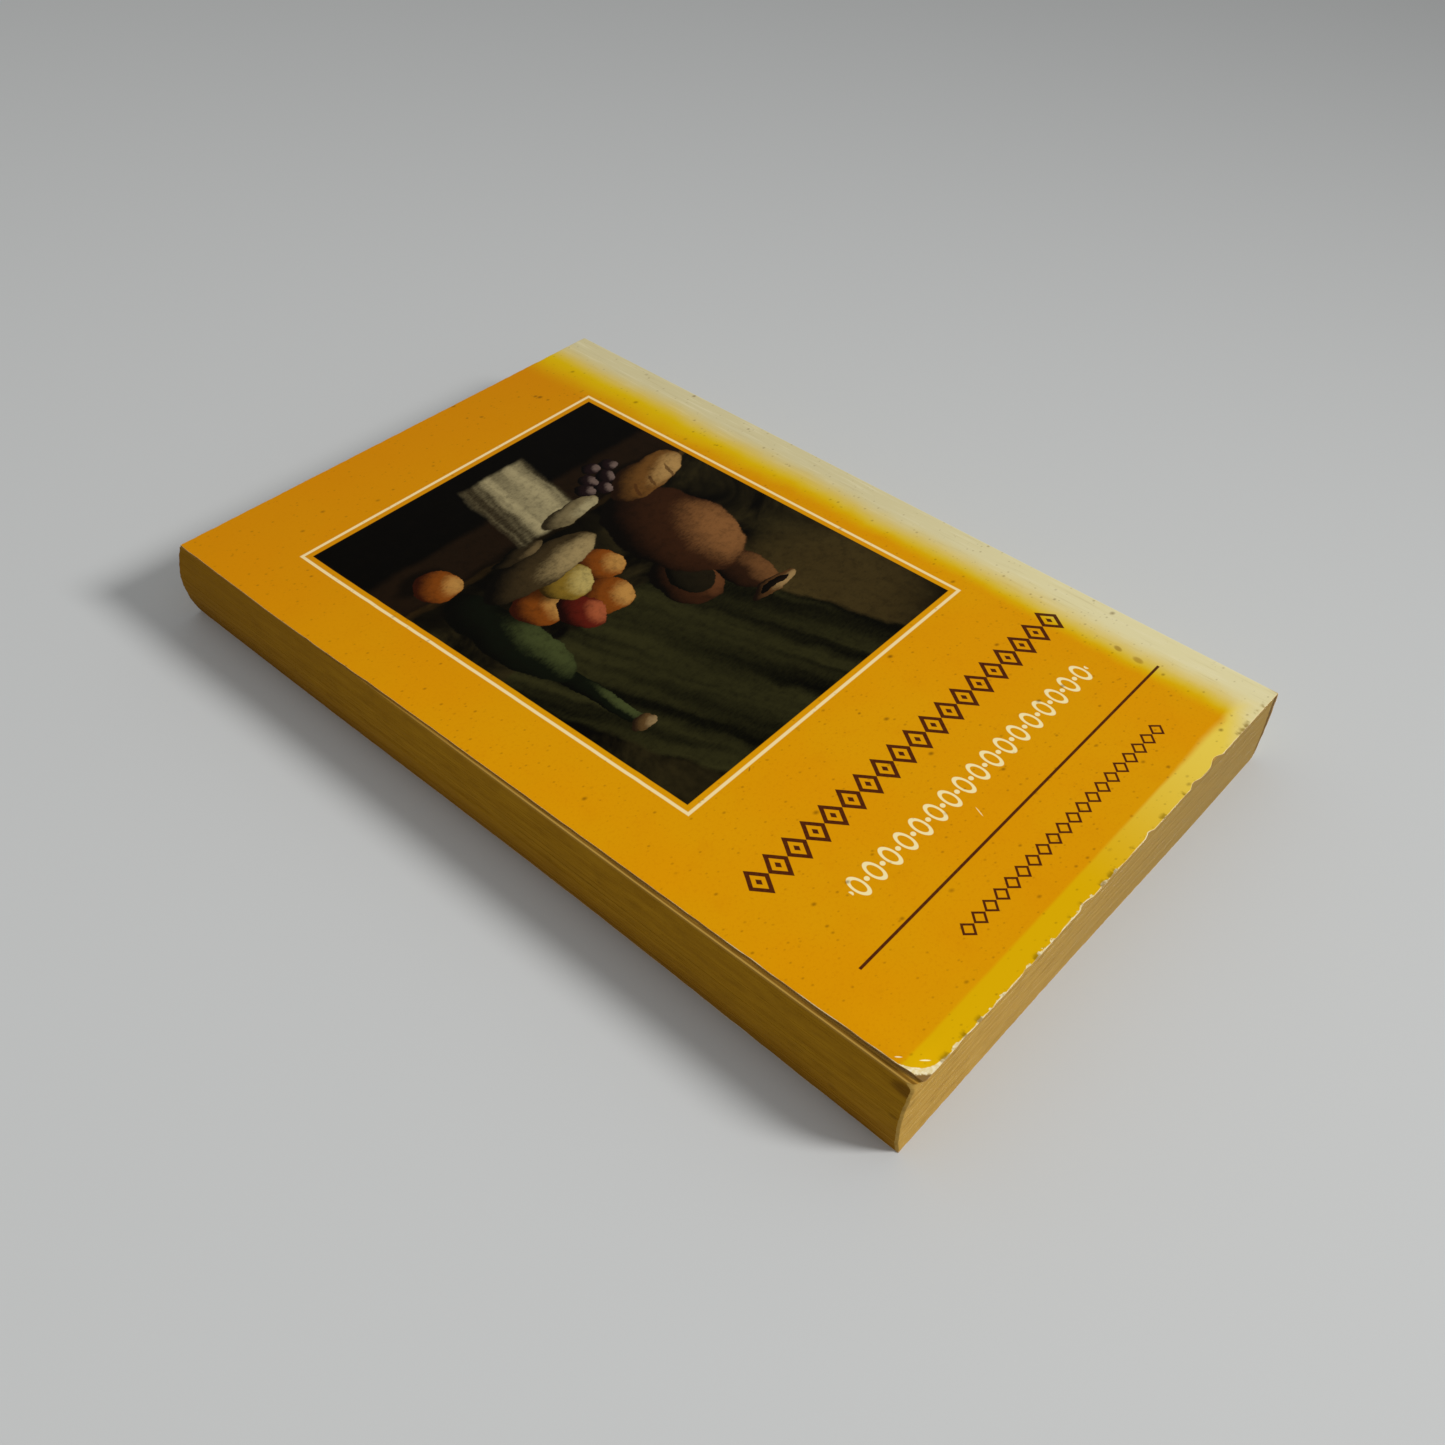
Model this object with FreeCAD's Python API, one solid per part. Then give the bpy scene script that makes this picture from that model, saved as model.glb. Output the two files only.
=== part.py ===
"""A small-format paperback book, lying closed on its back cover.

Millimetres. +X runs from the spine to the fore-edge, +Y from the tail to the head, +Z up
from the back cover to the front cover. The origin is under the middle of the book, on the
surface that it rests on.
"""

import FreeCAD, Part
import math
import os

os.makedirs("parts", exist_ok=True)

# The card cover
COVER_WIDTH = 115.2
COVER_HEIGHT = 184.0
BOOK_THICKNESS = 17.5
CARD_THICKNESS = 0.3
SIDE_STRIP = 4.0
FRONT_SPINE_CORNER_RADIUS = 0.8
BACK_SPINE_CORNER_RADIUS = 1.6
SPINE_ROUNDING = 0.9
WORN_CORNER_RADIUS = 1.5

# The glued spine
GLUE_THICKNESS = 0.4

# How far the leaves stand out past the front cover's fore-edge at each end of the book
LEAVES_PROUD_HEAD_FRONT = 1.0
LEAVES_PROUD_HEAD_BACK = 2.0
LEAVES_PROUD_TAIL_FRONT = 0.1
LEAVES_PROUD_TAIL_BACK = -0.6
FORE_EDGE_ROUNDING = 1.8

# Levels and lengths that follow from those sizes
front_leaf_z = BOOK_THICKNESS - CARD_THICKNESS
back_leaf_z = CARD_THICKNESS
middle_z = BOOK_THICKNESS / 2
tail_y = -COVER_HEIGHT / 2
head_y = COVER_HEIGHT / 2
spine_radius = (middle_z**2 + SPINE_ROUNDING**2) / (2 * SPINE_ROUNDING)
leaf_back_radius = spine_radius - CARD_THICKNESS - GLUE_THICKNESS


def point(x, z, y=0.0):
    return FreeCAD.Vector(x, y, z)


def line(start, end):
    return Part.LineSegment(start, end).toShape()


def arc(start, middle, end):
    return Part.Arc(start, middle, end).toShape()


def along_book(edges):
    """The flat shape inside the edges, drawn out from the tail to the head."""
    face = Part.Face(Part.Wire(edges))
    face.translate(FreeCAD.Vector(0, tail_y, 0))
    return face.extrude(FreeCAD.Vector(0, COVER_HEIGHT, 0))


def fore_edge_arc(y, front_x, back_x):
    """The bulging line of the leaves' edges, from the last leaf up to the first one."""
    low = point(back_x, back_leaf_z, y)
    high = point(front_x, front_leaf_z, y)
    across = (high - low).normalize()
    outward = FreeCAD.Vector(across.z, 0, -across.x)
    middle = (low + high) * 0.5 + outward * FORE_EDGE_ROUNDING
    return arc(low, middle, high)


# Places across the book, with the middle of its whole width at x = 0
widest_edge = fore_edge_arc(0.0, LEAVES_PROUD_HEAD_FRONT, LEAVES_PROUD_HEAD_BACK).Curve
leaves_reach = widest_edge.Center.x + widest_edge.Radius
whole_width = SPINE_ROUNDING + COVER_WIDTH + leaves_reach
spine_out_x = -whole_width / 2
spine_x = spine_out_x + SPINE_ROUNDING
fore_x = spine_x + COVER_WIDTH
crease_x = spine_x + SIDE_STRIP
spine_centre_x = spine_out_x + spine_radius


def spine_wrap_line(inset):
    """The line round the spine from the front crease to the back crease, moved in by inset."""

    def corner(z_face, inward, radius):
        """Centre and radius of a rounded corner, and its two tangent points."""
        centre_z = z_face + inward * radius
        reach = math.sqrt((spine_radius - radius) ** 2 - (centre_z - middle_z) ** 2)
        centre = point(spine_centre_x - reach, centre_z)
        left = radius - inset
        on_face = centre + FreeCAD.Vector(0, 0, -inward * left)
        to_spine = (centre - point(spine_centre_x, middle_z)).normalize()
        on_spine = centre + to_spine * left
        between = (to_spine + FreeCAD.Vector(0, 0, -inward)).normalize()
        return on_face, centre + between * left, on_spine

    front = corner(BOOK_THICKNESS, -1, FRONT_SPINE_CORNER_RADIUS)
    back = corner(0.0, 1, BACK_SPINE_CORNER_RADIUS)
    return [
        line(point(crease_x, BOOK_THICKNESS - inset), front[0]),
        arc(front[0], front[1], front[2]),
        arc(front[2], point(spine_out_x + inset, middle_z), back[2]),
        arc(back[2], back[1], back[0]),
        line(back[0], point(crease_x, inset)),
    ]


def make_spine_cover():
    """The card folded round the spine, with the strip glued down on each side of it."""
    outside = spine_wrap_line(0.0)
    inside = spine_wrap_line(CARD_THICKNESS)
    front_end = line(point(crease_x, front_leaf_z), point(crease_x, BOOK_THICKNESS))
    back_end = line(point(crease_x, 0.0), point(crease_x, back_leaf_z))
    return along_book(outside + [back_end] + inside[::-1] + [front_end])


def make_spine_glue():
    """The film of glue between the backs of the leaves and the card of the spine."""
    inside = spine_wrap_line(CARD_THICKNESS)
    closing = line(point(crease_x, back_leaf_z), point(crease_x, front_leaf_z))
    room_in_spine = along_book(inside + [closing])
    backs_of_leaves = Part.makeCylinder(
        leaf_back_radius,
        COVER_HEIGHT,
        point(spine_centre_x, middle_z, tail_y),
        FreeCAD.Vector(0, 1, 0),
    )
    return room_in_spine.cut(backs_of_leaves)


def leaf_section(y, front_proud, back_proud):
    """The outline of all the leaves at one end of the book."""
    back_x = spine_centre_x - math.sqrt(leaf_back_radius**2 - (front_leaf_z - middle_z) ** 2)
    fore = fore_edge_arc(y, fore_x + front_proud, fore_x + back_proud)
    low = point(back_x, back_leaf_z, y)
    high = point(back_x, front_leaf_z, y)
    spine_side = arc(high, point(spine_centre_x - leaf_back_radius, middle_z, y), low)
    bottom = line(low, point(fore_x + back_proud, back_leaf_z, y))
    top = line(point(fore_x + front_proud, front_leaf_z, y), high)
    return Part.Wire([spine_side, bottom, fore, top])


def make_text_block(spine_cover):
    """All the leaves, pressed together, slightly twisted along the book."""
    tail = leaf_section(tail_y, LEAVES_PROUD_TAIL_FRONT, LEAVES_PROUD_TAIL_BACK)
    head = leaf_section(head_y, LEAVES_PROUD_HEAD_FRONT, LEAVES_PROUD_HEAD_BACK)
    leaves = Part.makeLoft([tail, head], True, True)
    return leaves.cut(spine_cover)


def make_front_cover():
    """The front board of the card, from its crease to the fore-edge, with one worn corner."""
    board = Part.makeBox(
        fore_x - crease_x,
        COVER_HEIGHT,
        CARD_THICKNESS,
        point(crease_x, front_leaf_z, tail_y),
    )
    worn = [
        edge
        for edge in board.Edges
        if edge.CenterOfMass.isEqual(
            point(fore_x, front_leaf_z + CARD_THICKNESS / 2, head_y), CARD_THICKNESS
        )
        and edge.Length < 2 * CARD_THICKNESS
    ]
    return board.makeFillet(WORN_CORNER_RADIUS, worn)


def make_back_cover():
    """The back board, trimmed along the edge of the last leaf."""
    tail_corner_x = fore_x + LEAVES_PROUD_TAIL_BACK
    head_corner_x = fore_x + LEAVES_PROUD_HEAD_BACK
    outline = Part.makePolygon(
        [
            point(crease_x, 0.0, tail_y),
            point(tail_corner_x, 0.0, tail_y),
            point(head_corner_x, 0.0, head_y),
            point(crease_x, 0.0, head_y),
            point(crease_x, 0.0, tail_y),
        ]
    )
    return Part.Face(outline).extrude(FreeCAD.Vector(0, 0, CARD_THICKNESS))


def single_solid(shape):
    """The one solid that a boolean operation leaves, without seams."""
    return shape.removeSplitter().Solids[0]


spine_cover = make_spine_cover()
nodes = {
    "text_block": make_text_block(spine_cover),
    "spine_glue": make_spine_glue(),
    "spine_cover": spine_cover,
    "front_cover": make_front_cover(),
    "back_cover": make_back_cover(),
}
for name, shape in nodes.items():
    single_solid(shape).exportStep(f"parts/{name}.step")
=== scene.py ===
"""Looks of a used pocket paperback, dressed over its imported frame.

Lengths in this file are millimetres in the frame's own axes, unless a name says otherwise:
+X from the spine to the fore-edge, +Y from the tail to the head, +Z up. They become metres
where a mesh, a lamp or the camera is made. Colours are written as 0 to 255 display values.
"""

import math
import random

import bpy
import numpy as np
from mathutils import Matrix, Vector


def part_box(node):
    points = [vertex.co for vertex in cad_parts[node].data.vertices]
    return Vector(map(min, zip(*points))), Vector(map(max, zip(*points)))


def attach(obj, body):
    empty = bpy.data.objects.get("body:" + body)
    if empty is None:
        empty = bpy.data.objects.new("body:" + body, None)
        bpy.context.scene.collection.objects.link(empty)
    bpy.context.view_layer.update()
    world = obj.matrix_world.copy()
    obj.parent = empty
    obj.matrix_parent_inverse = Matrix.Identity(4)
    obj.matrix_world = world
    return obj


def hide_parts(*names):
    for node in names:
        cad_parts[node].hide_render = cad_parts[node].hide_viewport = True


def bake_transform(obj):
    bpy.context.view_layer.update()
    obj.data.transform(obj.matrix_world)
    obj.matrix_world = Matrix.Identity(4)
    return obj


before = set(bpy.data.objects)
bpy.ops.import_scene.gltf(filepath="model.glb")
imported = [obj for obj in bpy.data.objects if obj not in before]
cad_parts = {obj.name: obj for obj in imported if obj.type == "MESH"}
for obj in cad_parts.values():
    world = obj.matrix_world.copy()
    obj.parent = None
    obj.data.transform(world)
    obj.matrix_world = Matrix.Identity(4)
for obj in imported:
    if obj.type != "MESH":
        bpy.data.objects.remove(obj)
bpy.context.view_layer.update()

MM = 0.001


def box_mm(node):
    """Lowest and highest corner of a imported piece."""
    low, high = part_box(node)
    return low / MM, high / MM


front_low, front_high = box_mm("front_cover")
spine_low, _ = box_mm("spine_cover")

# The construction's own sizes that its boxes don't give
SPINE_ROUNDING = 0.9
FRONT_SPINE_CORNER_RADIUS = 0.8
BACK_SPINE_CORNER_RADIUS = 1.6
GLUE_THICKNESS = 0.4
PROUD_HEAD_FRONT = 1.0
PROUD_HEAD_BACK = 2.0
PROUD_TAIL_FRONT = 0.1
PROUD_TAIL_BACK = -0.6
FORE_EDGE_ROUNDING = 1.8

# Places that follow from the frame
tail_y = front_low.y
head_y = front_high.y
crease_x = front_low.x
fore_x = front_high.x
thickness = front_high.z
card = front_high.z - front_low.z
spine_out_x = spine_low.x
spine_x = spine_out_x + SPINE_ROUNDING
middle_z = thickness / 2
cover_width = fore_x - spine_x
cover_height = head_y - tail_y
front_leaf_z = thickness - card
back_leaf_z = card
spine_radius = (middle_z**2 + SPINE_ROUNDING**2) / (2 * SPINE_ROUNDING)
spine_centre_x = spine_out_x + spine_radius
leaf_back_radius = spine_radius - card - GLUE_THICKNESS

# The camera, from the middle of the front cover's outline on the surface the book lies on
CAMERA_PLACE = (169.85, 142.83, 205.05)
CAMERA_FORWARD = (-0.55506, -0.45206, -0.69825)
CAMERA_RIGHT = (-0.65855, 0.75163, 0.03689)
PHOTO_PIXELS = 1445
FOCAL_PIXELS = 1484.6
SENSOR_WIDTH = 36.0
CLIP_START_METRES = 0.01
CLIP_END_METRES = 20.0

# The floor and the lamps, in metres and degrees
FLOOR_SIZE = 8.0
FLOOR_DROP = 0.00005
KEY_LAMP = {"power": 204.0, "radius": 0.33, "cone": 34}
KEY_PLACE = (-0.85, 1.70, 1.41)
KEY_TARGET = (0.15, 0.10, 0)
LOW_SUN = {"power": 1.5, "spread_radians": 0.2}
LOW_SUN_PLACE = (-1, 0, -1)
SKY_STRENGTH = 0.44

# The print, in a frame turned a little on the card: u across and v up from the cover's middle
PRINT_TURN = math.radians(0.68)
KEYLINE = {"left": -40.1, "right": 42.0, "bottom": -72.0, "top": 31.4, "width": 0.65}
PICTURE_GAP = 1.5
RULE = {"v": 72.5, "left": -47.4, "right": 48.3, "width": 0.55}
LARGE_ROW = {"base": 46.3, "height": 7.0, "left": -47.1, "right": 47.9, "pitch": 5.0}
BEADS_ROW = {"base": 59.9, "height": 5.0, "left": -37.6, "right": 37.2, "pitch": 4.4}
SMALL_ROW = {"base": 79.0, "height": 3.5, "left": -33.1, "right": 31.9, "pitch": 3.25}
LARGE_STROKE = 0.8
SMALL_STROKE = 0.45

# Fading and wear
CREAM_END = 4.2
YELLOW_START = 12.4
YELLOW_END = 14.8
HEAD_BAND = 3.85
BARE_CORNER_RADIUS = 5.0
# Specks: scale of their scatter, share of the places that have one, size and strength
SPECKS = ((0.26, 0.66, 0.12, 0.72), (0.55, 0.5, 0.15, 0.5), (0.95, 0.5, 0.2, 0.36))
# Nicks in the head edge: place from the spine, half width and depth
HEAD_NICKS = (
    (24.6, 2.2, 0.75),
    (32.6, 1.7, 0.5),
    (48.6, 1.3, 0.35),
    (69.6, 2.0, 0.45),
    (87.6, 1.1, 0.3),
    (104.6, 2.4, 0.12),
)
HEAD_OVERHANG = 0.5
BACK_OVERHANG_REACH = (20.0, 80.0)
SOFT_CORNER_RADIUS = 1.3
CORNER_RETREAT = 0.35
FORE_EDGE_BULGE = 0.4
CORNER_LIFT = 0.5
CORNER_LIFT_REACH = 14.0
FORE_EDGE_LIFT = 0.12
LAST_LEAF_HOLLOW = {"depth": 0.76, "middle": 20.0, "reach": 58.0}
LAST_LEAF_FLARE = 0.55

WEAR_REACH = 7.0

# The leaves
LEAF_GROUPS = 84
LEAF_CORNER_RADIUS = 0.5
TOP_CORNER_RADIUS = 1.6
TOP_CORNER_DEPTH = 0.9
LEAF_STEP = 0.035
LEAF_STEP_RETURN = 0.2
LEAF_STEP_INSET = 0.1
WAVE_HEIGHT = 0.03
FORE_WAVE_HEIGHT = 0.05

# The grids of points: the coarse step between points and the fine ones at the two ends
BOARD_STEPS = (0.75, 0.3, 0.3)
CARD_ROW_STEPS = (2.2, 0.3, 0.22)
LEAF_ACROSS_STEPS = (0.026, 0.02, 0.0028)
LEAF_ALONG_STEPS = (0.0145, 0.003, 0.0018)
CARD_STEP_GROWTH = 1.35
LEAF_STEP_GROWTH = 1.5
SHARP_ANGLE = math.radians(40)


def linear(red, green, blue):
    """A display colour of 0 to 255 a channel as the linear values that shaders take."""

    def one(channel):
        value = channel / 255
        if value <= 0.04045:
            return value / 12.92
        return ((value + 0.055) / 1.055) ** 2.4

    return (one(red), one(green), one(blue), 1.0)


PRINT_ORANGE = (216, 145, 0)
PRINT_BROWN = (66, 18, 11)
PRINT_CREAM = (240, 222, 164)
KEYLINE_CREAM = (238, 214, 156)
FADED_YELLOW = (215, 179, 4)
BAND_YELLOW = (216, 168, 1)
BAND_PALE_YELLOW = (229, 202, 80)
SPECK_BROWN = (92, 54, 4)
FLOOR_GREY = (197, 198, 197)
SKY_WHITE = (253, 254, 255)
# Each thing in the picture has a dark, a middle and a light tone
CLAY = ((9, 5, 3), (66, 36, 17), (168, 112, 62))
BOTTLE_GREEN = ((5, 6, 3), (15, 21, 9), (84, 92, 48))
ORANGE_PEEL = ((60, 20, 5), (158, 82, 20), (232, 168, 84))
GRAPE_BLUE = ((6, 4, 5), (36, 20, 22), (140, 116, 104))

# Small marks on the front: place, half length and half width, turn, colour, strength, softness
FRONT_MARKS = (
    # The first two marks are painted highlights, glints on a crease by the worn head corner, with
    # some wear
    ((114.1, 87.1), (0.55, 0.11), 131, (250, 232, 190), 0.9, 0.5),
    ((112.0, 90.3), (0.8, 0.12), 136, (250, 240, 190), 0.9, 0.5),
    ((64.5, 68.0), (1.1, 0.1), 68, (250, 226, 170), 0.8, 0.5),
    ((1.6, -8.4), (0.75, 0.45), 60, (112, 88, 50), 0.8, 0.5),
    ((10.3, 63.6), (0.9, 0.6), 70, (128, 82, 6), 0.55, 0.7),
    ((10.6, 68.2), (1.1, 0.7), 80, (136, 88, 6), 0.5, 0.7),
)
PICTURE_MARKS = (
    # The first two marks are a whitish scuff near the tail corner, painted partly as a highlight
    # on it
    ((111.4, -70.0), (5.5, 0.8), 59, (240, 190, 110), 0.3, 0.9),
    ((112.9, -67.6), (2.2, 0.8), 59, (240, 200, 130), 0.3, 0.9),
    ((84.0, 32.6), (0.55, 0.13), 30, (150, 96, 20), 0.9, 0.4),
)


class Field:
    """A number, place or colour that changes over a surface: one socket of a material."""

    def __init__(self, paint, socket):
        self.paint = paint
        self.socket = socket

    def __add__(self, other):
        return self.paint.math("ADD", self, other)

    def __sub__(self, other):
        return self.paint.math("SUBTRACT", self, other)

    def __rsub__(self, other):
        return self.paint.math("SUBTRACT", other, self)

    def __mul__(self, other):
        return self.paint.math("MULTIPLY", self, other)

    def __truediv__(self, other):
        return self.paint.math("DIVIDE", self, other)

    def __abs__(self):
        return self.paint.math("ABSOLUTE", self)

    def __neg__(self):
        return self.paint.math("MULTIPLY", self, -1.0)


class Paint:
    """A node material that is written as expressions of fields."""

    def __init__(self, name):
        self.material = bpy.data.materials.new(name)
        self.material.use_nodes = True
        self.tree = self.material.node_tree
        self.tree.nodes.clear()
        self.tone = None

    def node(self, kind):
        return self.tree.nodes.new("ShaderNode" + kind)

    def link(self, output, socket):
        self.tree.links.new(output, socket)

    def plug(self, socket, value):
        """Links a field to a socket, or sets the socket to a number or a colour."""
        if isinstance(value, Field):
            self.link(value.socket, socket)
        elif isinstance(value, tuple):
            socket.default_value = linear(*value)
        else:
            socket.default_value = value

    def math(self, operation, *values):
        node = self.node("Math")
        node.operation = operation
        for socket, value in zip(node.inputs, values):
            self.plug(socket, value)
        return Field(self, node.outputs[0])

    def least(self, a, b):
        return self.math("MINIMUM", a, b)

    def most(self, a, b):
        return self.math("MAXIMUM", a, b)

    def attribute(self, name, output="Vector"):
        """What the mesh's points carry under this name: a place, or a number as Fac."""
        node = self.node("Attribute")
        node.attribute_name = name
        return Field(self, node.outputs[output])

    def parts(self, vector):
        node = self.node("SeparateXYZ")
        self.plug(node.inputs[0], vector)
        return tuple(Field(self, socket) for socket in node.outputs)

    def join(self, x, y, z=0.0):
        node = self.node("CombineXYZ")
        for socket, value in zip(node.inputs, (x, y, z)):
            self.plug(socket, value)
        return Field(self, node.outputs[0])

    def noise(self, vector, scale, detail=2.0, roughness=0.5, lively=0.0):
        node = self.node("TexNoise")
        self.plug(node.inputs["Vector"], vector)
        values = {"Scale": scale, "Detail": detail, "Roughness": roughness, "Distortion": lively}
        for label, value in values.items():
            node.inputs[label].default_value = value
        return Field(self, node.outputs["Fac"])

    def cells(self, vector, scale):
        """Distance to the nearest of many scattered points, its random colour and its place."""
        node = self.node("TexVoronoi")
        self.plug(node.inputs["Vector"], vector)
        node.inputs["Scale"].default_value = scale
        return tuple(Field(self, socket) for socket in node.outputs[:3])

    def rise(self, value, low, high, start=0.0, end=1.0):
        """Start below low, end above high, and a smooth step between them."""
        node = self.node("MapRange")
        node.interpolation_type = "SMOOTHSTEP"
        self.plug(node.inputs["Value"], value)
        self.plug(node.inputs["From Min"], low)
        self.plug(node.inputs["From Max"], high)
        node.inputs["To Min"].default_value = start
        node.inputs["To Max"].default_value = end
        return Field(self, node.outputs["Result"])

    def fall(self, value, low, high):
        """1 below low, 0 above high, and a smooth step between them."""
        return self.rise(value, low, high, 1.0, 0.0)

    def mix(self, share, a, b):
        """Colour a where share is 0, colour b where it is 1."""
        node = self.node("Mix")
        node.data_type = "RGBA"
        self.plug(node.inputs[0], share)
        self.plug(node.inputs[6], a)
        self.plug(node.inputs[7], b)
        return Field(self, node.outputs[2])

    def lay(self, share, colour):
        """Lays a colour over the tone so far, as thickly as share says."""
        self.tone = self.mix(share, self.tone, colour)

    def finish(self, roughness, height, relief, gloss):
        """Ends the material: height is a field, and relief its full rise in millimetres."""
        shader = self.node("BsdfPrincipled")
        self.plug(shader.inputs["Base Color"], self.tone)
        self.plug(shader.inputs["Roughness"], roughness)
        shader.inputs["Specular IOR Level"].default_value = gloss
        bump = self.node("Bump")
        bump.inputs["Distance"].default_value = relief * MM
        self.plug(bump.inputs["Height"], height)
        self.link(bump.outputs["Normal"], shader.inputs["Normal"])
        output = self.node("OutputMaterial")
        self.link(shader.outputs[0], output.inputs["Surface"])
        return self.material


def between(paint, value, low, high, soft=0.08):
    """1 where value lies from low to high."""
    return paint.rise(value, low - soft, low + soft) * paint.fall(value, high - soft, high + soft)


def mark(paint, a, y, place, size, turn, soft):
    """An oval mark with soft borders."""
    cos_turn = math.cos(math.radians(turn))
    sin_turn = math.sin(math.radians(turn))
    east = a - place[0]
    north = y - place[1]
    along = east * (cos_turn / size[0]) + north * (sin_turn / size[0])
    across = north * (cos_turn / size[1]) - east * (sin_turn / size[1])
    return paint.fall(along * along + across * across, 1 - soft, 1 + soft)


def spots(paint, place, scale, core, spread, least, share):
    """Round spots of uneven size at a share of many scattered places."""
    distance, colour, _ = paint.cells(place, scale)
    chance, grade, _ = paint.parts(colour)
    round_spot = paint.fall(distance, core, grade * spread + least)
    return round_spot * paint.fall(chance, share, share + 0.05)


def lozenge_row(paint, u, v, row, stroke, dots):
    """A chain of open lozenges, with a dot in each if dots says so."""
    half_pitch = row["pitch"] / 2
    half_height = row["height"] / 2
    along = paint.math("MODULO", u - row["left"], row["pitch"]) - half_pitch
    across = v - (row["base"] + half_height)
    reach = abs(along) / half_pitch + abs(across) / half_height
    to_mm = 1 / math.hypot(1 / half_pitch, 1 / half_height)
    half_stroke = stroke / 2
    outline_at = 1 - half_stroke / to_mm
    from_outline = abs(reach - outline_at) * to_mm
    outline = paint.fall(from_outline, half_stroke - 0.06, half_stroke + 0.06)
    ink = outline
    if dots:
        ink = paint.most(outline, paint.fall(reach, 0.2, 0.27))
    return ink * between(paint, u, row["left"], row["right"])


def bead_row(paint, u, v, row):
    """Open ovals standing upright, with a small bead between each two."""
    half_pitch = row["pitch"] / 2
    half_height = row["height"] / 2
    from_left = u - row["left"]
    along = paint.math("MODULO", from_left, row["pitch"]) - half_pitch
    across = v - (row["base"] + half_height)
    oval_width = row["pitch"] * 0.31
    east = along / oval_width
    north = across / half_height
    reach = paint.math("SQRT", east * east + north * north)
    oval = paint.fall(abs(reach - 0.82), 0.14, 0.2)
    beside = abs(along) - half_pitch
    bead = paint.fall(beside * beside + across * across, 0.2, 0.3)
    return paint.most(oval, bead) * between(paint, u, row["left"], row["right"])


class StillLife:
    """An invented dark still life, laid on as soft-edged strokes one over the other."""

    def __init__(self, paint, p, q):
        self.paint = paint
        self.place = paint.join(p, q)
        _, _, dab = paint.cells(paint.join(p * 0.8, q * 1.25), 1.9)
        dab_x, dab_y, _ = paint.parts(dab)
        wander_x = paint.noise(self.place, 0.13, 3.0, 0.5) - 0.5
        wander_y = paint.noise(paint.join(q, p), 0.15, 3.0, 0.5) - 0.5
        self.stroke = paint.noise(paint.join(p * 0.9, q * 2.6), 0.8, 4.0, 0.65) - 0.5
        self.p = p * 0.7 + dab_x * (0.3 / 0.8) + wander_x * 4.0
        self.q = q * 0.7 + dab_y * (0.3 / 1.25) + wander_y * 3.0

    def ground(self, dark, light):
        cloud = self.paint.noise(self.place, 0.05, 4.0, 0.65, 0.8)
        self.colour = self.paint.mix(self.paint.rise(cloud, 0.38, 0.72), dark, light)

    def lay(self, mask, colour):
        self.colour = self.paint.mix(mask, self.colour, colour)

    def folds(self, left, right, bottom, top, dark, light, pitch, lean=0.0):
        """Hanging cloth: uneven upright folds between soft borders."""
        paint = self.paint
        sway = self.p + self.q * lean
        fold = paint.noise(paint.join(sway / pitch, self.q * 0.012), 1.0, 2.0, 0.4, 0.4)
        cloth = paint.mix(paint.rise(fold + self.stroke * 0.25, 0.3, 0.72), dark, light)
        mask = between(paint, sway, left, right, 0.8) * between(paint, self.q, bottom, top, 0.8)
        self.lay(mask, cloth)

    def shadow(self, x, y, half_width, half_height, depth=0.75):
        """A soft dark oval, such as a thing casts on what it stands on."""
        east = (self.p - x) / half_width
        north = (self.q - y) / half_height
        self.lay(self.paint.fall(east * east + north * north, 0.3, 1.5) * depth, (3, 2, 1))

    def ball(self, x, y, half_width, half_height, dark, mid, light, turn=0.0):
        """Something rounded, lit from the upper left."""
        paint = self.paint
        cos_turn = math.cos(math.radians(turn))
        sin_turn = math.sin(math.radians(turn))
        east = self.p - x
        north = self.q - y
        a = (east * (cos_turn / half_width)) + (north * (sin_turn / half_width))
        b = (north * (cos_turn / half_height)) - (east * (sin_turn / half_height))
        reach = a * a + b * b
        swell = paint.math("SQRT", paint.most(1.0 - reach, 0.0))
        lit = swell * 0.62 + b * 0.5 - a * 0.6 + self.stroke * 0.35
        body = paint.mix(paint.rise(lit, -0.35, 0.55), dark, mid)
        body = paint.mix(paint.rise(lit, 0.55, 1.02), body, light)
        self.lay(paint.fall(reach, 0.94, 1.04), body)


def lay_backdrop(art):
    """A dark wall with a glow on it, a curtain, and the table with its lit front edge."""
    paint = art.paint
    art.ground((5, 4, 2), (60, 51, 25))
    glow_x = (art.p + 20) / 26
    glow_y = (art.q - 84) / 20
    glow = paint.fall(glow_x * glow_x + glow_y * glow_y, 0.1, 1.6)
    art.lay(glow * 0.7, (92, 74, 36))
    art.folds(6, 60, 56, 120, (4, 5, 2), (64, 61, 29), 6.5, 0.3)
    art.lay(paint.fall(art.q, 30.5, 31.6), (38, 24, 11))
    art.lay(between(paint, art.q, 29.6, 31.2, 0.5) * 0.55, (112, 82, 36))
    art.lay(paint.fall(art.q, 17.0, 19.5), (4, 3, 2))


def lay_jug(art):
    """A clay jug: its handle, neck, belly and mouth."""
    dark, middle, _ = CLAY
    art.shadow(-8, 33, 19, 5)
    art.ball(-6.5, 61, 7.0, 8.5, dark, middle, (120, 72, 38))
    art.ball(-7.6, 61, 4.2, 5.6, (7, 6, 3), (34, 28, 14), (40, 32, 16))
    art.ball(-17, 66, 5.4, 9.5, dark, (56, 31, 15), (140, 92, 50))
    art.ball(-17, 48, 12.5, 17, *CLAY)
    lip_tones = ((30, 17, 9), (104, 68, 34), (196, 158, 100))
    art.ball(-17, 75.0, 7.0, 1.9, *lip_tones)
    art.ball(-17, 75.0, 4.6, 0.9, (4, 3, 2), (14, 8, 5), (30, 18, 10))


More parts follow.
